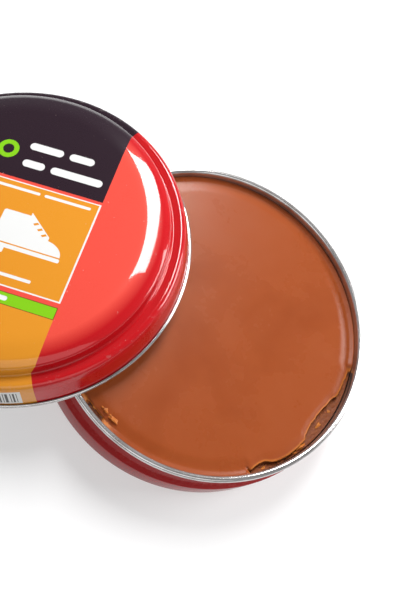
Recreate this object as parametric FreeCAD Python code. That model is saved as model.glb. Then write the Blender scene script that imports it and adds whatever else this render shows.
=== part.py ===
import FreeCAD, Part
import math
import os

# Shoe polish tin: a shallow drawn can full of set wax polish, and its printed lid, which leans on the can.
# Millimetres. +Z is up, the origin is the centre of the can's underside, on the surface that it stands on,
# and the lid lies towards -X. Profiles are drawn as (radius, height) and spun round an upright axis.

# Sheet and curled edges
plate = 0.25               # tinplate thickness
curl_sweep = 280.0         # how far an edge is rolled round, in degrees

# Can
rim_radius = 36.3          # outside of the curled rim
rim_height = 14.8          # height of the rim's widest circle
rim_roll = 0.675           # outer radius of the rolled edge
body_radius = 36.9
shoulder_foot = 7.8        # where the body ends and the shoulder starts
shoulder_top = 9.1
neck_foot_radius = 35.9
neck_bend = 13.4           # the neck leans in up to here, and then stands straight
foot_ring_inner = 34.4
panel_edge = 33.4
panel_recess = 0.8         # the bottom panel stands this far off the table

# Lid, in its own axis: height 0 is the widest circle of its rolled hem
hem_radius = 37.7
hem_roll = 0.475
skirt_bend_radius = 36.45  # the skirt leans in more above this height
skirt_bend_height = 5.0
skirt_foot_height = 1.5    # below this the skirt stands straight down to its hem
skirt_round = 3.0
ledge_radius = 35.85       # where the narrow ledge would meet the skirt
ledge_height = 7.0
ledge_round = 1.2
foot_radius = 33.1         # foot of the raised panel's side, at the ledge's inner edge
foot_height = 6.7
foot_round = 0.5
side_top_radius = 32.85    # where the panel's side turns over into its sloping brow
side_top_height = 9.2
side_top_round = 0.9
brow_radius = 31.4
brow_height = 10.15
brow_round = 3.5
panel_radius = 28.0        # the panel is flat inside this circle and falls away outside it
panel_height = 11.0
panel_round = 10.0

# How the lid lies: hem on the table at the far side, and on the can's rim at two points
lean_angle = 14.7
lean_offset = 45.3         # between the two axes, measured at the hem's widest circle

# Wax
wax_level = 13.6
wax_gap = 0.05             # set wax stands this far off the plate
wax_edge_radius = 34.85    # where the rounded edge of the wax meets its lower lip
wax_edge_round = 1.35
break_floor = 11.9         # level of the wax left where the edge has broken away

# The broken edge, from the side that faces +X round to the front: (azimuth in degrees, radius)
break_line = [
    (7.0, 35.8),
    (3.5, 34.6),
    (-2.0, 33.8),
    (-9.5, 33.5),
    (-13.0, 32.5),
    (-20.5, 31.8),
    (-27.0, 32.0),
    (-31.0, 32.7),
    (-33.5, 33.6),
    (-40.5, 34.1),
    (-46.0, 34.3),
    (-48.7, 33.9),
    (-51.7, 33.1),
    (-55.0, 33.4),
    (-58.0, 34.3),
    (-61.0, 35.8),
]

# Loose crumbs of wax: (azimuth, radius, length, width, height, level that they lie on)
crumbs = [
    (-35.6, 34.2, 2.3, 0.9, 1.5, break_floor),
    (-38.6, 34.55, 1.3, 0.55, 1.0, break_floor),
    (-24.0, 33.6, 1.7, 0.8, 0.7, break_floor),
    (-16.5, 33.8, 1.2, 0.7, 0.6, break_floor),
    (-52.5, 34.4, 1.2, 0.6, 0.8, break_floor),
    (-113.0, 32.6, 1.9, 0.8, 0.5, wax_level),
    (-117.5, 32.5, 1.3, 0.7, 0.6, wax_level),
]
crumb_lift = 0.02
chip_slope = 18            # degrees that a crumb's top is cut off level
chip_skew = 40             # degrees that this cut is turned from the wall
chip_reach = 4             # larger than any crumb


def rounded_path(corners):
    """Lines and tangent arcs through (radius, height, rounding) corners, as pieces that offset() can move."""
    pieces = []
    start = corners[0][:2]
    for i in range(1, len(corners) - 1):
        before, here, after = corners[i - 1][:2], corners[i][:2], corners[i + 1][:2]
        heading_in = math.atan2(here[1] - before[1], here[0] - before[0])
        heading_out = math.atan2(after[1] - here[1], after[0] - here[0])
        turn = math.remainder(heading_out - heading_in, 2 * math.pi)
        rounding = corners[i][2]
        reach = rounding * math.tan(abs(turn) / 2)
        bend_from = (here[0] - reach * math.cos(heading_in), here[1] - reach * math.sin(heading_in))
        side = math.copysign(math.pi / 2, turn)
        centre = (
            bend_from[0] + rounding * math.cos(heading_in + side),
            bend_from[1] + rounding * math.sin(heading_in + side),
        )
        pieces.append(("line", start, bend_from))
        pieces.append(("arc", centre, rounding, heading_in - side, turn))
        start = (here[0] + reach * math.cos(heading_out), here[1] + reach * math.sin(heading_out))
    pieces.append(("line", start, corners[-1][:2]))
    return pieces


def roll(pieces, outer_radius, side):
    """Adds a rolled edge, turning to the left (side 1) or to the right (side -1) of the path."""
    (_, before, end) = pieces[-1]
    heading = math.atan2(end[1] - before[1], end[0] - before[0])
    radius = outer_radius - plate
    to_centre = heading + side * math.pi / 2
    centre = (end[0] + radius * math.cos(to_centre), end[1] + radius * math.sin(to_centre))
    return pieces + [("arc", centre, radius, to_centre + math.pi, side * math.radians(curl_sweep))]


def offset(pieces, distance):
    """The same path, moved to its left by distance."""
    moved = []
    for piece in pieces:
        if piece[0] == "line":
            (_, a, b) = piece
            heading = math.atan2(b[1] - a[1], b[0] - a[0])
            shift = (-distance * math.sin(heading), distance * math.cos(heading))
            moved.append(("line", (a[0] + shift[0], a[1] + shift[1]), (b[0] + shift[0], b[1] + shift[1])))
        else:
            (_, centre, radius, angle, turn) = piece
            moved.append(("arc", centre, radius - distance * math.copysign(1, turn), angle, turn))
    return moved


def point(centre, radius, angle):
    return FreeCAD.Vector(centre[0] + radius * math.cos(angle), 0, centre[1] + radius * math.sin(angle))


def edges(pieces):
    """The path's pieces as edges in the XZ plane."""
    made = []
    for piece in pieces:
        if piece[0] == "line":
            (_, a, b) = piece
            made.append(Part.LineSegment(FreeCAD.Vector(a[0], 0, a[1]), FreeCAD.Vector(b[0], 0, b[1])).toShape())
        else:
            (_, centre, radius, angle, turn) = piece
            stops = [point(centre, radius, angle + turn * share) for share in (0, 0.5, 1)]
            made.append(Part.Arc(*stops).toShape())
    return made


def spun(outline):
    """A closed outline in the XZ plane, spun round Z into a solid."""
    face = Part.Face(Part.Wire(Part.__sortEdges__(outline)))
    return face.revolve(FreeCAD.Vector(0, 0, 0), FreeCAD.Vector(0, 0, 1), 360)


def segment(a, b):
    return Part.LineSegment(FreeCAD.Vector(a[0], 0, a[1]), FreeCAD.Vector(b[0], 0, b[1])).toShape()


def ends(outline):
    """First and last points of a path's edges, as (radius, height)."""
    first = outline[0].firstVertex().Point
    last = outline[-1].lastVertex().Point
    return (first.x, first.z), (last.x, last.z)


def pressed_sheet(pieces, inward):
    """A round pressing: the path is its outer surface, and inward (1 left, -1 right) is where the plate lies."""
    outer = edges(pieces)
    inner = edges(offset(pieces, inward * plate))
    outer_first, outer_last = ends(outer)
    inner_first, inner_last = ends(inner)
    return spun(outer + inner + [segment(outer_first, inner_first), segment(outer_last, inner_last)])


def can_path():
    """Outer surface of the can, from the middle of its underside to where the rim starts to roll."""
    neck_top_radius = rim_radius - 2 * rim_roll + plate
    return rounded_path([
        (0, panel_recess),
        (panel_edge, panel_recess, 0.8),
        (foot_ring_inner, 0, 0.8),
        (body_radius, 0, 1.3),
        (body_radius, shoulder_foot, 0.6),
        (neck_foot_radius, shoulder_top, 0.6),
        (neck_top_radius, neck_bend, 3.0),
        (neck_top_radius, rim_height),
    ])


def can():
    return pressed_sheet(roll(can_path(), rim_roll, -1), 1)


def lid():
    """The lid in its own axis, then laid on the table and the rim."""
    skirt_foot_radius = hem_radius - 2 * hem_roll + plate
    profile = rounded_path([
        (0, panel_height),
        (panel_radius, panel_height, panel_round),
        (brow_radius, brow_height, brow_round),
        (side_top_radius, side_top_height, side_top_round),
        (foot_radius, foot_height, foot_round),
        (ledge_radius, ledge_height, ledge_round),
        (skirt_bend_radius, skirt_bend_height, skirt_round),
        (skirt_foot_radius, skirt_foot_height, skirt_round),
        (skirt_foot_radius, 0),
    ])
    shape = pressed_sheet(roll(profile, hem_roll, 1), -1)
    shape.rotate(FreeCAD.Vector(0, 0, 0), FreeCAD.Vector(0, 1, 0), -lean_angle)
    hem_centre = (hem_radius - hem_roll) * math.sin(math.radians(lean_angle)) + hem_roll
    shape.translate(FreeCAD.Vector(-lean_offset, 0, hem_centre))
    return shape


def around(azimuth, radius, height):
    angle = math.radians(azimuth)
    return FreeCAD.Vector(radius * math.cos(angle), radius * math.sin(angle), height)


def prism(corners, depth):
    face = Part.Face(Part.makePolygon(corners + corners[:1]))
    return face.extrude(FreeCAD.Vector(0, 0, depth))


def wax():
    """The cake poured into the can, with its rounded edge and the stretch where the edge broke away."""
    inside = edges(offset(can_path(), plate + wax_gap))
    bottom, top = ends(inside)
    cake = spun(inside + [segment(top, (0, top[1])), segment((0, top[1]), bottom)])
    flat_radius = wax_edge_radius - wax_edge_round
    edge_low = wax_level - wax_edge_round
    arc_middle = point((flat_radius, edge_low), wax_edge_round, math.pi / 4)
    rounding = Part.Arc(
        FreeCAD.Vector(flat_radius, 0, wax_level),
        arc_middle,
        FreeCAD.Vector(wax_edge_radius, 0, edge_low),
    ).toShape()
    above = rim_height + 1
    beyond = body_radius + 1
    waste = spun([
        segment((0, wax_level), (flat_radius, wax_level)),
        rounding,
        segment((wax_edge_radius, edge_low), (beyond, edge_low)),
        segment((beyond, edge_low), (beyond, above)),
        segment((beyond, above), (0, above)),
        segment((0, above), (0, wax_level)),
    ])
    line = [around(azimuth, radius, break_floor) for azimuth, radius in break_line]
    outside = [around(azimuth, body_radius + 4, break_floor) for azimuth in (-62, -45, -27, -9, 8)]
    broken = prism(line + outside, above - break_floor)
    return cake.cut(waste).cut(broken)


def crumb(azimuth, radius, length, width, height, level):
    """One chip: a five-sided wedge that lies along the wall."""
    corners = []
    for along, across in ((-0.5, -0.2), (-0.15, -0.5), (0.5, -0.3), (0.4, 0.35), (-0.3, 0.5)):
        turn = math.degrees(along * length / radius)
        corners.append(around(azimuth + turn, radius + across * width, level + crumb_lift))
    chip = prism(corners, height)
    tip = around(azimuth - chip_skew, 1, 0)
    waste = Part.makeBox(2 * chip_reach, 2 * chip_reach, chip_reach, FreeCAD.Vector(-chip_reach, -chip_reach, 0))
    waste.rotate(FreeCAD.Vector(0, 0, 0), FreeCAD.Vector(-tip.y, tip.x, 0), chip_slope)
    waste.translate(around(azimuth, radius, level + crumb_lift + height * 0.75))
    return chip.cut(waste)


nodes = {
    "base_can": can(),
    "lid": lid(),
    "wax_cake": wax(),
    "wax_crumbs": Part.makeCompound([crumb(*values) for values in crumbs]),
}

os.makedirs("parts", exist_ok=True)
for name, shape in nodes.items():
    if not shape.isValid():
        raise ValueError(name + " is not a valid shape")
    shape.exportStep("parts/" + name + ".step")
    box = shape.BoundBox
    print(name, "solids", len(shape.Solids), "volume", round(shape.Volume, 1), "mm3, box",
          [round(v, 2) for v in (box.XMin, box.XMax, box.YMin, box.YMax, box.ZMin, box.ZMax)])
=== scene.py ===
import math
import random
import bmesh
import bpy
from mathutils import Matrix, Vector, noise


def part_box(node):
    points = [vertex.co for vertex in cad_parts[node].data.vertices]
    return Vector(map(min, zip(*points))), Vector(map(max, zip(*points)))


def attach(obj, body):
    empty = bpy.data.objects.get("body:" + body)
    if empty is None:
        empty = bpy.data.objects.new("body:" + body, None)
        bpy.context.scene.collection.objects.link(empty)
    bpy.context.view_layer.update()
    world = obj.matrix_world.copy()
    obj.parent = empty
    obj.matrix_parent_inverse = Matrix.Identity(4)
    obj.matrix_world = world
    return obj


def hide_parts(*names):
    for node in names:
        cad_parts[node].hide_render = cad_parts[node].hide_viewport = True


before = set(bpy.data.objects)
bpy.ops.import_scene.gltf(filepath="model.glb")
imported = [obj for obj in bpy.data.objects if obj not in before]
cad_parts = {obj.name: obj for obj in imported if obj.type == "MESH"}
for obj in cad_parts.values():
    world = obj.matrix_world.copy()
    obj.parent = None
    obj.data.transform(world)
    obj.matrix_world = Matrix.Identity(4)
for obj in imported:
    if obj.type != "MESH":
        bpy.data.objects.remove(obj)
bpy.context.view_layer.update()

# Metres throughout. Outlines are (radius, height) in millimetres, made metres when they are drawn.
MM = 0.001
random.seed(7)

can_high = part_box("base_can")[1]
lid_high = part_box("lid")[1]
wax_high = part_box("wax_cake")[1]

# Plate and rolled edges, in millimetres
plate = 0.25
roll_turn = math.radians(280)
roll_steps = 26
round_steps = 288
weld = 0.004
bend_step = 7       # degrees of bend to a facet

# Can
rim_roll = 0.675
body_radius = can_high.x / MM
rim_height = can_high.z / MM - rim_roll
rim_radius = 36.3
neck_top_radius = rim_radius - 2 * rim_roll + plate
neck_top_height = 13.4
neck_foot_radius = 35.9
neck_foot_height = 9.1
shoulder_height = 7.8
foot_radius = 34.4
recess_radius = 33.4
recess_height = 0.8

# Lid, in its own axis, where height 0 is the widest circle of its hem
hem_roll = 0.475
hem_radius = lid_high.y / MM
skirt_foot_radius = hem_radius - 2 * hem_roll + plate
panel_height = 11.0
panel_radius = 28.0
brow_radius = 31.4
brow_height = 10.15
side_top_radius = 32.85
side_top_height = 9.2
side_foot_radius = 33.1
side_foot_height = 6.7
ledge_radius = 35.85
ledge_height = 7.0
skirt_bend_radius = 36.45
skirt_bend_height = 5.0
skirt_foot_height = 1.5
lean = math.radians(14.7)
lean_offset = 45.3
hem_centre_height = (hem_radius - hem_roll) * math.sin(lean) + hem_roll
lid_place = (
    Matrix.Translation(Vector((-lean_offset, 0, hem_centre_height)) * MM)
    @ Matrix.Rotation(-lean, 4, "Y")
)

# Wax: the surface sinks in a soft brow, then climbs the wall
wax_level = wax_high.z / MM
wall_radius = 34.9
brow_start, brow_width, brow_depth = 31.0, 2.7, 0.36
climb_start, climb_width, climb_height = 33.7, 1.1, 0.30
wax_steps = 480
surface_rings = [
    0.2, 3, 6, 9, 12, 15, 18, 20.5, 22.5, 24.5, 26, 27, 28, 28.8, 29.5, 30.1, 30.6, 31.1, 31.5, 31.9, 32.25,
    32.55, 32.8, 33.0, 33.25, 33.5, 33.75, 34.0, 34.25, 34.45, 34.6, 34.72, 34.8, 34.85, 34.88,
]

# The break: rings of the surface shift to follow it, then go down its cliff and out over a rough floor
break_floor = 11.9
shift_ring = 27.0       # rings outside this one shift
lip_ring = 33.0         # this one becomes the lip
cliff_ring = 33.3       # rings from the lip to here stand on the cliff
floor_ring = 33.5       # rings from here to the wall lie on the floor
cliff_foot = 0.24       # how far the cliff's foot stands out from its lip
crumbling_from = 0.86   # share of the shifted surface after which it crumbles
break_onset = 0.8       # depth from the wall at which the edge is wholly gone

# (radius, height) of the cake's side and bottom, just inside the can
cake_underside = [
    (34.88, break_floor - 0.3), (35.05, 10.7), (35.5, 9.1), (36.5, 7.9), (36.58, 7.5), (36.58, 1.6),
    (36.3, 0.6), (35.6, 0.32), (34.5, 0.32), (33.5, 1.12), (0.2, 1.12),
]

# The stretch of edge that is only rubbed rough, in degrees
rubbed_azimuth = -120
rubbed_spread = 7.0
rubbed_ring = 33.55     # radius in millimetres outside which the wax is torn

# Where the wax broke away along the wall: (azimuth in degrees, radius of the break)
break_line = [
    (7, 35.8), (3.5, 34.6), (-2, 33.8), (-9.5, 33.5), (-13, 32.5), (-20.5, 31.8), (-27, 32.0), (-31, 32.7),
    (-33.5, 33.6), (-40.5, 34.1), (-46, 34.3), (-48.7, 33.9), (-51.7, 33.1), (-55, 33.4), (-58, 34.3),
    (-61, 35.8),
]

# Loose chips of wax: (azimuth, radius, length, width, height, level that they lie on)
chips = [
    (-35.6, 34.2, 2.3, 0.9, 1.5, break_floor),
    (-38.6, 34.55, 1.3, 0.55, 1.0, break_floor),
    (-24.0, 33.6, 1.7, 0.8, 0.7, break_floor),
    (-16.5, 33.8, 1.2, 0.7, 0.6, break_floor),
    (-52.5, 34.4, 1.2, 0.6, 0.8, break_floor),
    (-113.0, 32.6, 1.9, 0.8, 0.5, wax_level),
    (-117.5, 32.5, 1.3, 0.7, 0.6, wax_level),
]
small_chips = 3         # small ones scattered round each of those

# The lid's print, in millimetres from the middle of the panel: x to the right, y away from the front
band_edge = 16.6        # right edge of the printed band
dark_from = 9.0
box_low, box_high = -15.4, 8.3
strip_low, strip_high = -19.1, -16.4
# From this radius outwards the lid's red is painted darker: painted shade on the brow, side and skirt.
painted_shade_from, painted_shade_soft = 29.8, 1.5

# White bars where words would be: (left, right, low, high, rounding)
wording_bars = [
    (-3.0, 4.6, 16.7, 18.5, 0.9), (6.0, 11.6, 16.7, 18.5, 0.9), (-3.0, 2.0, 12.2, 14.0, 0.9),
    (3.4, 15.0, 12.2, 14.0, 0.9), (-9.0, 3.6, 6.35, 7.0, 0.3), (4.6, 14.8, 6.35, 7.0, 0.3),
    (-9.0, 9.4, -13.3, -12.6, 0.3), (-8.0, 6.4, -18.25, -17.25, 0.45),
]
shoe_place = (5.2, -2.6)
ring_place = (-7.2, 15.4)
ring_outer, ring_inner = 2.3, 1.2

# The patch of stripes on the skirt: azimuths and heights, then (stripe, gap) widths in degrees
patch_from, patch_to = -84.0, -66.2
patch_low, patch_high = 0.9, 5.6
stripe_low, stripe_high = 1.6, 5.1
first_stripe = -67.4
stripes = [
    (0.25, 0.5), (0.6, 0.45), (0.3, 0.75), (0.85, 0.4), (0.3, 0.55), (0.55, 0.9), (0.25, 0.4), (0.8, 0.7),
    (0.3, 0.45), (0.5, 0.8), (0.9, 0.45), (0.25, 0.6),
]

# Floor, in metres from its middle to an edge
floor_reach = 3.0

# Light, in metres: (name, place, point aimed at, size, watts)
softboxes = [
    ("strip_softbox", (-0.045, 0.245, 0.325), (-0.02, 0, 0.01), (0.10, 0.25), 2.1),
    ("right_softbox", (0.30, 0.15, 0.20), (0, 0, 0.01), (0.20, 0.16), 1.2),
    ("front_softbox", (0.02, -0.52, 0.60), (-0.02, 0, 0.01), (1.0, 0.42), 1.75),
]
horizon_strength = 0.42
overhead_strength = 0.20

# Camera: lens in millimetres, shift as a share of the frame, and place and near clip in metres
focal_length = 44.8
sensor_width = 36
lens_shift = (0.0702, 0.0133)
camera_place = (-0.03244, -0.06787, 0.16201)
near_clip = 0.005
camera_right = Vector((0.9132, 0.3127, 0.2613))
camera_back = Vector((-0.1246, -0.3964, 0.9096))


# ---------------------------------------------------------------- pressed tinplate

def rounded_wire(bm, corners):
    """A wire of (radius, height, rounding) corners in the XZ plane; a bevel rounds each corner."""
    points = [Vector((corner[0], 0, corner[1])) * MM for corner in corners]
    verts = [bm.verts.new(point) for point in points]
    for a, b in zip(verts, verts[1:]):
        bm.edges.new((a, b))
    for before, here, after, corner in zip(points, points[1:], points[2:], corners[1:]):
        turn = (here - before).angle(after - here)
        reach = corner[2] * MM * math.tan(turn / 2)
        steps = max(4, round(math.degrees(turn) / bend_step))
        sharp = nearest_vert(bm, here)
        bmesh.ops.bevel(bm, geom=[sharp], offset=reach, offset_type="OFFSET", segments=steps,
                        profile=0.5, affect="VERTICES", material=-1)
    return nearest_vert(bm, points[-1])


def nearest_vert(bm, point):
    return min(bm.verts, key=lambda v: (v.co - point).length)


def placed(name, bm, materials):
    """The mesh as an object at the origin, with its materials in slot order."""
    mesh = bpy.data.meshes.new(name)
    bm.to_mesh(mesh)
    bm.free()
    for material in materials:
        mesh.materials.append(material)
    piece = bpy.data.objects.new(name, mesh)
    bpy.context.scene.collection.objects.link(piece)
    return piece


def pressing(name, corners, roll_radius, roll_side, outside_up, materials):
    """A drawn sheet: its outer surface spun from an outline, a rolled edge, and the plate's thickness inside.

    roll_side is 1 for an edge rolled clockwise as seen from -Y, and -1 for the other way round.
    The inside, which the roll turns outwards, takes the second material.
    """
    bm = bmesh.new()
    last = rounded_wire(bm, corners)
    centre = Vector((last.co.x + (roll_radius - plate) * MM, 0, last.co.z))
    bmesh.ops.spin(bm, geom=[last], cent=centre, axis=(0, 1, 0), dvec=(0, 0, 0),
                   angle=roll_side * roll_turn, steps=roll_steps, use_duplicate=False)
    bmesh.ops.spin(bm, geom=bm.verts[:] + bm.edges[:], cent=(0, 0, 0), axis=(0, 0, 1), dvec=(0, 0, 0),
                   angle=2 * math.pi, steps=round_steps, use_merge=True, use_duplicate=False)
    bmesh.ops.remove_doubles(bm, verts=bm.verts, dist=weld * MM)
    bmesh.ops.recalc_face_normals(bm, faces=bm.faces)
    middle = min(bm.faces, key=lambda f: f.calc_center_median().xy.length)
    if (middle.normal.z > 0) != outside_up:
        bmesh.ops.reverse_faces(bm, faces=bm.faces)
    for face in bm.faces:
        face.smooth = True
    piece = placed(name, bm, materials)
    wall = piece.modifiers.new("plate", "SOLIDIFY")
    wall.thickness = plate * MM
    wall.offset = -1
    wall.material_offset = 1
    wall.material_offset_rim = 1
    return piece


def can_corners():
    """(radius, height, rounding) of the can's outside, from the middle of its recessed bottom to its rim."""
    return [
        (0, recess_height),
        (recess_radius, recess_height, 0.8),
        (foot_radius, 0, 0.8),
        (body_radius, 0, 1.3),
        (body_radius, shoulder_height, 0.6),
        (neck_foot_radius, neck_foot_height, 0.6),
        (neck_top_radius, neck_top_height, 3.0),
        (neck_top_radius, rim_height),
    ]


def lid_corners():
    """(radius, height, rounding) of the lid's outside, from the middle of its panel to its hem."""
    return [
        (0, panel_height),
        (panel_radius, panel_height, 10.0),
        (brow_radius, brow_height, 3.5),
        (side_top_radius, side_top_height, 0.9),
        (side_foot_radius, side_foot_height, 0.5),
        (ledge_radius, ledge_height, 1.2),
        (skirt_bend_radius, skirt_bend_height, 3.0),
        (skirt_foot_radius, skirt_foot_height, 3.0),
        (skirt_foot_radius, 0),
    ]


# ---------------------------------------------------------------- wax

def eased(share):
    """A share held between 0 and 1, with a gentle start and end."""
    share = min(1.0, max(0.0, share))
    return share * share * (3 - 2 * share)


def edge_fall(radius):
    """How far the surface of unbroken wax has sunk at a radius."""
    brow = eased((radius - brow_start) / brow_width)
    climb = eased((radius - climb_start) / climb_width)
    return brow_depth * brow - climb_height * climb


def break_radius(azimuth):
    """Radius of the break at an azimuth in degrees, ragged at two scales, or None outside the break."""
    if not break_line[-1][0] < azimuth < break_line[0][0]:
        return None
    for (a, ra), (b, rb) in zip(break_line, break_line[1:]):
        if b <= azimuth <= a:
            share = (a - azimuth) / (a - b)
            smooth = ra + (rb - ra) * share
    ragged = 0.22 * noise.noise((azimuth * 0.9, 3.1, 0)) + 0.12 * noise.noise((azimuth * 2.7, 8.4, 0))
    return smooth + ragged


def broken_place(azimuth, radius, height, edge):
    """Where a point of the unbroken surface goes once the edge is gone, and how broken it looks, which also
    lays the painted highlight on the lip and the painted shadow down the cliff.
    """
    grain = noise.noise((azimuth * 1.3, radius * 1.9, 5.0))
    fine = noise.noise((azimuth * 4.1, radius * 5.0, 1.0))
    if radius <= lip_ring + 0.01:
        share = (radius - shift_ring) / (lip_ring - shift_ring)
        crumbling = max(0.0, share - crumbling_from) / (1 - crumbling_from)
        lift = 0.10 * crumbling * (0.4 + grain)
        # crumbling * 0.5 lays the painted highlight of the lip.
        return shift_ring + (edge - shift_ring) * share, height + lift, crumbling * 0.5
    if radius < cliff_ring:
        # 0.9 lays the painted shadow of the crack on the cliff.
        return edge + 0.08 + 0.06 * grain, wax_level - 0.75 + 0.35 * fine, 0.9
    share = min(1.0, (radius - floor_ring) / (wall_radius - floor_ring))
    floor = break_floor + 0.12 + 0.55 * share + 0.22 * grain * (1 - share) + 0.10 * fine
    return edge + cliff_foot + (wall_radius - edge - cliff_foot) * share, floor, 1.0


def rubbed_place(azimuth, radius, height):
    """Where a point goes on the stretch of edge that is only rubbed rough, and how broken it looks, which also
    lays painted highlight and painted shadow there.
    """
    nearness = math.exp(-(((azimuth - rubbed_azimuth) / rubbed_spread) ** 2))
    if radius < lip_ring or nearness < 0.02:
        return radius, height, 0.0
    outwards = min(1.0, (radius - lip_ring) / 0.7)
    coarse = noise.noise((azimuth * 2.1, radius * 3.0, 9.0))
    rough = coarse + 0.5 * noise.noise((azimuth * 6.0, radius * 8.0, 2.0))
    torn = max(0.0, min(1.0, (radius - rubbed_ring + 0.5 * rough) / 0.25)) * nearness
    worn_height = height - 0.55 * torn * (0.8 + rough) + 0.10 * nearness * rough
    return radius, worn_height, min(0.93, torn * (0.45 + 0.6 * outwards))


def wax_cake(material):
    """The poured cake: spun from its outline, then broken along the wall, with a rough floor left below."""
    bm = bmesh.new()
    outline = [(radius, wax_level - edge_fall(radius)) for radius in surface_rings]
    verts = [bm.verts.new((radius * MM, 0, height * MM)) for radius, height in outline + cake_underside]
    for a, b in zip(verts, verts[1:]):
        bm.edges.new((a, b))
    bmesh.ops.spin(bm, geom=bm.verts[:] + bm.edges[:], cent=(0, 0, 0), axis=(0, 0, 1), dvec=(0, 0, 0),
                   angle=2 * math.pi, steps=wax_steps, use_merge=True, use_duplicate=False)
    bmesh.ops.holes_fill(bm, edges=[edge for edge in bm.edges if edge.is_boundary], sides=0)
    bmesh.ops.recalc_face_normals(bm, faces=bm.faces)
    broken = bm.verts.layers.float.new("broken")
    for vert in bm.verts:
        azimuth = math.degrees(math.atan2(vert.co.y, vert.co.x))
        radius = vert.co.xy.length / MM
        height = vert.co.z / MM
        if height < break_floor or radius < 1:
            continue
        swell = 0.05 * noise.noise((vert.co.x * 60, vert.co.y * 60, 0.0))
        new_radius, new_height, rough = rubbed_place(azimuth, radius, height + swell)
        edge = break_radius(azimuth)
        if edge is not None and edge < wall_radius and radius > shift_ring:
            gone = eased((wall_radius - edge) / break_onset)
            to_radius, to_height, to_rough = broken_place(azimuth, radius, height + swell, edge)
            new_radius += (to_radius - new_radius) * gone
            new_height += (to_height - new_height) * gone
            rough = max(rough, to_rough * gone)
        vert.co.x *= new_radius / radius
        vert.co.y *= new_radius / radius
        vert.co.z = new_height * MM
        # The broken value also sets where the painted lip highlight and painted crack shadow go.
        vert[broken] = rough
    for face in bm.faces:
        face.smooth = max(vert[broken] for vert in face.verts) < 0.7
    return placed("poured_wax", bm, [material])


def wax_chips(material):
    """Torn crumbs of wax, laid along the wall: large ones in set places and small ones scattered round them."""
    bm = bmesh.new()
    scattered = []
    for chip in chips:
        azimuth, radius, level = chip[0], chip[1], chip[-1]
        for small in range(small_chips):
            size = random.uniform(0.25, 0.5)
            scattered.append((azimuth + random.uniform(-4.5, 4.5), radius + random.uniform(-0.5, 0.25),
                              size * 1.5, size, size * 0.8, level))
    for azimuth, radius, length, width, height, level in chips + scattered:
        made = bmesh.ops.create_icosphere(bm, subdivisions=3 if length > 1 else 2, radius=0.5)["verts"]
        seed = azimuth * 7.3
        for vert in made:
            facet = noise.cell_vector(vert.co * 2.3 + Vector((seed, 0, 0))) - Vector((0.5, 0.5, 0.5))
            lump = 1 + 0.55 * noise.noise(vert.co * 2.2 + Vector((seed, 1, 0)))
            vert.co = (vert.co * lump + facet * 0.05) * MM
            vert.co.z = max(vert.co.z, -0.3 * MM)
        turn = Matrix.Rotation(math.radians(azimuth + 90 + random.uniform(-14, 14)), 4, "Z")
        bearing = math.radians(azimuth)
        spot = Vector((radius * math.cos(bearing), radius * math.sin(bearing), level + height * 0.34)) * MM
        shape = Matrix.Diagonal((length, width, height, 1))
        bmesh.ops.transform(bm, matrix=Matrix.Translation(spot) @ turn @ shape, verts=made)
    layer = bm.verts.layers.float.new("broken")
    for vert in bm.verts:
        # Both values lay the painted lip highlight over every chip.
        vert[layer] = 0.62 if vert.co.z < (wax_level - 0.1) * MM else 0.42
    return placed("wax_chips", bm, [material])


# ---------------------------------------------------------------- materials

class Field:
    """A number that varies over a surface, built from Math nodes with ordinary arithmetic."""

    def __init__(self, tree, socket):
        self.tree = tree
        self.socket = socket

    def math(self, operation, other=None, third=None, clamp=False):
        node = self.tree.nodes.new("ShaderNodeMath")
        node.operation = operation
        node.use_clamp = clamp
        for slot, value in enumerate((self, other, third)):
            if isinstance(value, Field):
                self.tree.links.new(value.socket, node.inputs[slot])
            elif value is not None:
                node.inputs[slot].default_value = value
        return Field(self.tree, node.outputs[0])

    def __add__(self, other):
        return self.math("ADD", other)

    def __sub__(self, other):
        return self.math("SUBTRACT", other)

    def __mul__(self, other):
        return self.math("MULTIPLY", other)

    def __truediv__(self, other):
        return self.math("DIVIDE", other)

    def __abs__(self):
        return self.math("ABSOLUTE")

    def below(self, edge, soft=0.04):
        """1 where the field is under edge, 0 above it, with a narrow soft join."""
        return (self - edge).math("MULTIPLY_ADD", -1 / (2 * soft), 0.5, clamp=True)

    def above(self, edge, soft=0.04):
        return (self - edge).math("MULTIPLY_ADD", 1 / (2 * soft), 0.5, clamp=True)

    def between(self, low, high, soft=0.04):
        return self.above(low, soft) * self.below(high, soft)

    def ramp(self, low, high):
        """The part of the field that lies between low and high."""
        return self.math("MAXIMUM", low).math("MINIMUM", high) - low

    def either(self, other):
        return self.math("MAXIMUM", other)

    def squared(self):
        return self * self


def bar(x, y, left, right, low, high, rounding):
    """1 inside an upright rectangle with rounded corners."""
    past_x = (abs(x - (left + right) / 2) - ((right - left) / 2 - rounding)).math("MAXIMUM", 0.0)
    past_y = (abs(y - (low + high) / 2) - ((high - low) / 2 - rounding)).math("MAXIMUM", 0.0)
    return (past_x.squared() + past_y.squared()).math("SQRT").below(rounding)


def oval(x, y, centre, half_width, half_height):
    """1 inside an ellipse."""
    far = ((x - centre[0]) / half_width).squared() + ((y - centre[1]) / half_height).squared()
    return far.below(1.0, 0.03)


def shoe(x, y):
    """1 inside a plain laced shoe seen from the side, its toe to the right, 15 mm long."""
    sole = bar(x, y, -7.4, 7.8, -4.7, -3.8, 0.35).either(bar(x, y, -7.4, -3.9, -5.9, -4.2, 0.3))
    toe = oval(x, y, (3.2, -3.5), 4.4, 3.0) * y.above(-3.5)
    quarter = bar(x, y, -7.2, -0.6, -3.5, 3.9, 0.5) * y.above(-3.5)
    slope = (x * 0.82 + y).below(3.5) * x.between(-1.4, 4.0) * y.above(-3.5)
    upper = toe.either(quarter).either(slope)
    laces = None
    for step in range(3):
        row = abs(x * 0.82 + y - 2.6).below(0.62) * abs(x * 0.6 - y + 2.2 - step * 1.75).below(0.3)
        laces = row if laces is None else laces.either(row)
    return sole.either(upper * laces.math("MULTIPLY_ADD", -1.0, 1.0))


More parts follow.
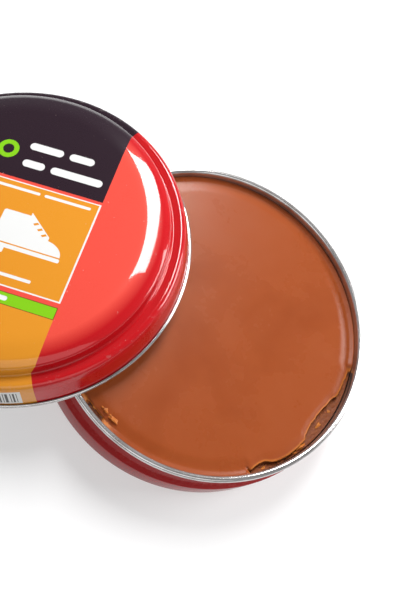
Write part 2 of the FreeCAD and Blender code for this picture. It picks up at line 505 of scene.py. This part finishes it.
class Finish:
    """One material: a Principled shader and helpers that feed its sockets."""

    def __init__(self, name, **settings):
        self.material = bpy.data.materials.new(name)
        self.material.use_nodes = True
        self.tree = self.material.node_tree
        self.shader = self.tree.nodes["Principled BSDF"]
        for socket, value in settings.items():
            self.shader.inputs[socket.replace("_", " ")].default_value = value
        coords = self.tree.nodes.new("ShaderNodeTexCoord")
        self.place = coords.outputs["Object"]

    def node(self, kind, **settings):
        made = self.tree.nodes.new(kind)
        for key, value in settings.items():
            setattr(made, key, value)
        return made

    def noise(self, scale, detail, roughness=0.5, distortion=0.0):
        """Noise from 0 to 1 with features about 1/scale metres across."""
        made = self.node("ShaderNodeTexNoise")
        made.inputs["Scale"].default_value = scale
        made.inputs["Detail"].default_value = detail
        made.inputs["Roughness"].default_value = roughness
        made.inputs["Distortion"].default_value = distortion
        self.tree.links.new(self.place, made.inputs["Vector"])
        return Field(self.tree, made.outputs[0])

    def mix(self, base, over, mask):
        """One colour laid over another where the mask is 1. A colour is a socket or an (r, g, b) triple."""
        made = self.node("ShaderNodeMix", data_type="RGBA")
        self.tree.links.new(mask.socket, made.inputs["Factor"])
        for name, colour in (("A", base), ("B", over)):
            socket = [s for s in made.inputs if s.name == name and s.type == "RGBA"][0]
            if isinstance(colour, tuple):
                socket.default_value = (*colour, 1)
            else:
                self.tree.links.new(colour, socket)
        return [s for s in made.outputs if s.type == "RGBA"][0]

    def feed(self, socket, value):
        self.tree.links.new(value.socket if isinstance(value, Field) else value, self.shader.inputs[socket])

    def bump(self, height, depth, into="Normal"):
        """Relief: height runs 0 to 1 and stands for depth metres."""
        made = self.node("ShaderNodeBump")
        made.inputs["Distance"].default_value = depth
        self.tree.links.new(height.socket, made.inputs["Height"])
        self.tree.links.new(made.outputs[0], self.shader.inputs[into])

    def attribute(self, name):
        made = self.node("ShaderNodeAttribute", attribute_name=name)
        return Field(self.tree, made.outputs["Fac"])

    def axes(self, turned_by=None):
        """X, Y and Z in millimetres, after an optional Mapping by (location, rotation)."""
        source = self.place
        if turned_by:
            mapping = self.node("ShaderNodeMapping", vector_type="TEXTURE")
            mapping.inputs["Location"].default_value = turned_by[0]
            mapping.inputs["Rotation"].default_value = turned_by[1]
            self.tree.links.new(source, mapping.inputs["Vector"])
            source = mapping.outputs[0]
        split = self.node("ShaderNodeSeparateXYZ")
        self.tree.links.new(source, split.inputs[0])
        return [Field(self.tree, out) * (1 / MM) for out in split.outputs]


def bare_tin():
    """Uncoated plate: bright, with a fine grain and duller patches."""
    bright = (0.60, 0.585, 0.58)
    dull = (0.40, 0.375, 0.36)
    tin = Finish("bare_tin", Metallic=0.88)
    fine = tin.noise(2600, detail=2.0)
    patch = tin.noise(140, detail=4.0, roughness=0.6)
    tin.feed("Roughness", fine * 0.10 + patch * 0.16 + 0.05)
    tin.feed("Base Color", tin.mix(bright, dull, patch.between(0.55, 0.9, 0.12)))
    tin.bump(fine * 0.5 + patch * 0.5, 0.000012)
    return tin.material


def red_lacquer():
    """Dark red stoving lacquer outside the can, with orange peel, rubbed paler at the shoulder and foot."""
    deep, light, rubbed_red = (0.24, 0.003, 0.004), (0.31, 0.006, 0.007), (0.34, 0.045, 0.035)
    coat = Finish("red_lacquer", Specular_IOR_Level=0.07, Coat_Weight=0.05, Coat_Roughness=0.08)
    height = coat.axes()[2]
    wear = coat.noise(900, detail=5.0, roughness=0.65)
    cloud = coat.noise(60, detail=2.0)
    shoulder = height.between(8.2, 9.6, 0.5)
    foot = height.below(0.5, 0.3)
    rubbed = shoulder.either(foot) * wear.above(0.56, 0.08)
    base = coat.mix(deep, light, cloud)
    coat.feed("Base Color", coat.mix(base, rubbed_red, rubbed * 0.3))
    coat.feed("Roughness", wear * 0.12 + rubbed * 0.2 + 0.12)
    coat.bump(coat.noise(420, detail=1.0) * 0.7 + wear * 0.3, 0.00001)
    return coat.material


def lid_print():
    """Printed and varnished plate: dark, orange, green and red fields, white bars and a plain shoe; the red is
    painted darker outside the panel as painted shade.
    """
    panel_slack, brow_slope, side_slope = 0.03, 1.195, 8.64
    ink = Finish("lid_print", Specular_IOR_Level=0.04, Coat_Weight=0.85, Coat_Roughness=0.05)
    x, y, h = ink.axes(((-lean_offset * MM, 0, hem_centre_height * MM), (0, -lean, 0)))
    radius = (x * x + y * y).math("SQRT")
    # How far a point is from the middle along the plate, so that the print isn't drawn out down the steep parts
    reach = radius.math("MINIMUM", brow_radius) + radius.ramp(panel_radius, brow_radius) * panel_slack
    reach = reach + radius.ramp(brow_radius, side_top_radius) * brow_slope
    reach = reach + radius.ramp(side_top_radius, side_foot_radius) * side_slope
    stretch = reach / radius.math("MAXIMUM", 0.001)
    across = x * stretch
    along = y * stretch

    red = (0.66, 0.062, 0.042)
    painted_shade_red = (0.40, 0.004, 0.007)
    dark = (0.017, 0.007, 0.013)
    orange = (0.60, 0.230, 0.015)
    green = (0.18, 0.47, 0.006)
    white = (0.66, 0.66, 0.65)
    brown, paper, stripe_black = (0.12, 0.04, 0.008), (0.60, 0.60, 0.58), (0.015, 0.013, 0.013)
    bare, dusty = (0.40, 0.36, 0.34), (0.6, 0.45, 0.42)
    band = across.below(band_edge)
    top = radius.below(brow_radius)

    # The red darkens outside the panel: painted shade on the brow, side and skirt.
    colour = ink.mix(red, painted_shade_red, radius.above(painted_shade_from, painted_shade_soft))
    colour = ink.mix(colour, dark, band * along.above(dark_from))
    colour = ink.mix(colour, white, along.between(box_low, box_high) * band)
    colour = ink.mix(colour, orange,
                     along.between(box_low + 0.3, box_high - 0.25) * across.below(band_edge - 0.36))
    colour = ink.mix(colour, brown, along.between(strip_low, strip_high) * band)
    colour = ink.mix(colour, green,
                     along.between(strip_low + 0.15, strip_high - 0.15) * across.below(band_edge - 0.15))
    colour = ink.mix(colour, orange, along.below(strip_low) * band)

    white_marks = shoe(across - shoe_place[0], along - shoe_place[1])
    for left, right, low, high, rounding in wording_bars:
        white_marks = white_marks.either(bar(across, along, left, right, low, high, rounding))
    colour = ink.mix(colour, white, white_marks * top)
    colour = ink.mix(colour, green, oval(across, along, ring_place, ring_outer, ring_outer) * top)
    colour = ink.mix(colour, dark, oval(across, along, ring_place, ring_inner, ring_inner) * top)

    azimuth = y.math("ARCTAN2", x) * (180 / math.pi)
    skirt = radius.above(ledge_radius + 0.05)
    patch = azimuth.between(patch_from, patch_to, 0.06) * h.between(patch_low, patch_high)
    colour = ink.mix(colour, paper, patch * skirt)
    striped = None
    position = first_stripe
    for width, gap in stripes:
        stripe = azimuth.between(position - width, position, 0.05)
        striped = stripe if striped is None else striped.either(stripe)
        position -= width + gap
    colour = ink.mix(colour, stripe_black, striped * h.between(stripe_low, stripe_high) * skirt)

    speck = ink.noise(3000, detail=2.0)
    smear = ink.noise(90, detail=3.0, roughness=0.6)
    dust = ink.noise(1500, detail=1.0).above(0.80, 0.03)
    tone = ink.noise(700, detail=4.0, roughness=0.7)
    worn = radius.between(34.9, 36.0, 0.3) * tone.above(0.62, 0.05)
    colour = ink.mix(colour, bare, worn * 0.2)
    ink.feed("Base Color", ink.mix(colour, dusty, dust * 0.25))
    ink.feed("Roughness", speck * 0.10 + smear * 0.16 + 0.16)
    ink.bump(ink.noise(55, detail=1.0) * 0.75 + speck * 0.05 + dust * 0.2, 0.00002, into="Coat Normal")
    return ink.material


def polish_wax():
    """Set wax: satin tan-brown, faintly mottled, slightly see-through, duller where it broke, with a painted
    highlight on the crumbling lip and a painted shadow in the crack.
    """
    wax = Finish("polish_wax", Subsurface_Weight=0.10, Subsurface_Scale=0.0015, Specular_IOR_Level=0.19)
    wax.shader.inputs["Subsurface Radius"].default_value = (1.0, 0.45, 0.25)
    brown, tan, pale = (0.188, 0.034, 0.0070), (0.252, 0.053, 0.012), (0.29, 0.070, 0.020)
    torn_brown, torn_tan = (0.150, 0.034, 0.009), (0.27, 0.075, 0.018)
    # lit_edge is a painted highlight on the crumbling lip; deep is a painted shadow in the crack down the
    # cliff.
    lit_edge, deep = (0.60, 0.19, 0.030), (0.030, 0.007, 0.003)
    cloud = wax.noise(42, detail=4.0, roughness=0.55, distortion=0.4)
    streak = wax.noise(170, detail=5.0, roughness=0.6)
    grain = wax.noise(1700, detail=4.0, roughness=0.65)
    broken = wax.attribute("broken")
    base = wax.mix(brown, tan, cloud.between(0.35, 1.3, 0.2))
    base = wax.mix(base, pale, streak.above(0.62, 0.16) * 0.18)
    torn = wax.mix(torn_brown, torn_tan, grain.above(0.52, 0.2))
    # Painted highlight on the crumbling lip, then painted shadow in the crack down the cliff.
    torn = wax.mix(torn, lit_edge, broken.between(0.25, 0.72, 0.1) * 0.75)
    torn = wax.mix(torn, deep, broken.between(0.80, 0.95, 0.06) * 0.85)
    wax.feed("Base Color", wax.mix(base, torn, broken.above(0.35, 0.2)))
    wax.feed("Roughness", cloud * 0.12 + streak * 0.08 + broken * 0.25 + 0.17)
    wax.bump(grain * (broken * 0.95 + 0.04) + streak * 0.1, 0.00012)
    return wax.material


def pale_floor():
    """A plain matt table with a faint light of its own, so that the shadow on it stays pale."""
    floor = Finish("pale_floor", Base_Color=(0.50, 0.50, 0.50, 1), Roughness=0.9, Specular_IOR_Level=0.1,
                   Emission_Color=(1, 1, 1, 1), Emission_Strength=0.42)
    return floor.material


# ---------------------------------------------------------------- pieces

tin_material = bare_tin()
wax_material = polish_wax()

can = pressing("drawn_can", can_corners(), rim_roll, 1, False, [red_lacquer(), tin_material])
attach(can, "can")
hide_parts("base_can")

lid = pressing("pressed_lid", lid_corners(), hem_roll, -1, True, [lid_print(), tin_material])
lid.data.transform(lid_place)
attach(lid, "lid")
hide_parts("lid")

for piece, node in ((wax_cake(wax_material), "wax_cake"), (wax_chips(wax_material), "wax_crumbs")):
    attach(piece, "can")
    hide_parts(node)


# ---------------------------------------------------------------- stage

def stage_floor():
    bm = bmesh.new()
    bmesh.ops.create_grid(bm, x_segments=1, y_segments=1, size=floor_reach)
    placed("floor", bm, [pale_floor()])


def softbox(name, place, aim, size, watts):
    light = bpy.data.lights.new(name, "AREA")
    light.shape = "RECTANGLE"
    light.size, light.size_y = size
    light.energy = watts
    lamp = bpy.data.objects.new(name, light)
    lamp.location = place
    lamp.rotation_mode = "QUATERNION"
    lamp.rotation_quaternion = (Vector(aim) - Vector(place)).to_track_quat("-Z", "Y")
    bpy.context.scene.collection.objects.link(lamp)


def camera():
    """Looks steeply down on the tin from the front left, turned a little, with a slightly shifted lens."""
    lens = bpy.data.cameras.new("camera")
    lens.lens = focal_length
    lens.sensor_width = sensor_width
    lens.shift_x, lens.shift_y = lens_shift
    lens.clip_start = near_clip
    viewer = bpy.data.objects.new("camera", lens)
    back = camera_back.normalized()
    up = back.cross(camera_right.normalized()).normalized()
    right = up.cross(back)
    turned = Matrix((right, up, back)).transposed().to_4x4()
    viewer.matrix_world = Matrix.Translation(camera_place) @ turned
    bpy.context.scene.collection.objects.link(viewer)
    bpy.context.scene.camera = viewer


def studio_world():
    """Soft white light from all round, stronger at the horizon than overhead."""
    world = bpy.data.worlds.new("studio")
    world.use_nodes = True
    nodes = world.node_tree.nodes
    links = world.node_tree.links
    aim = nodes.new("ShaderNodeTexCoord")
    split = nodes.new("ShaderNodeSeparateXYZ")
    fall = nodes.new("ShaderNodeMapRange")
    fall.inputs["To Min"].default_value = horizon_strength
    fall.inputs["To Max"].default_value = overhead_strength
    links.new(aim.outputs["Generated"], split.inputs[0])
    links.new(split.outputs["Z"], fall.inputs["Value"])
    links.new(fall.outputs[0], nodes["Background"].inputs["Strength"])
    nodes["Background"].inputs["Color"].default_value = (0.97, 0.98, 1.0, 1)
    bpy.context.scene.world = world


stage_floor()
for box in softboxes:
    softbox(*box)
studio_world()
camera()
bpy.context.scene.view_settings.view_transform = "Standard"
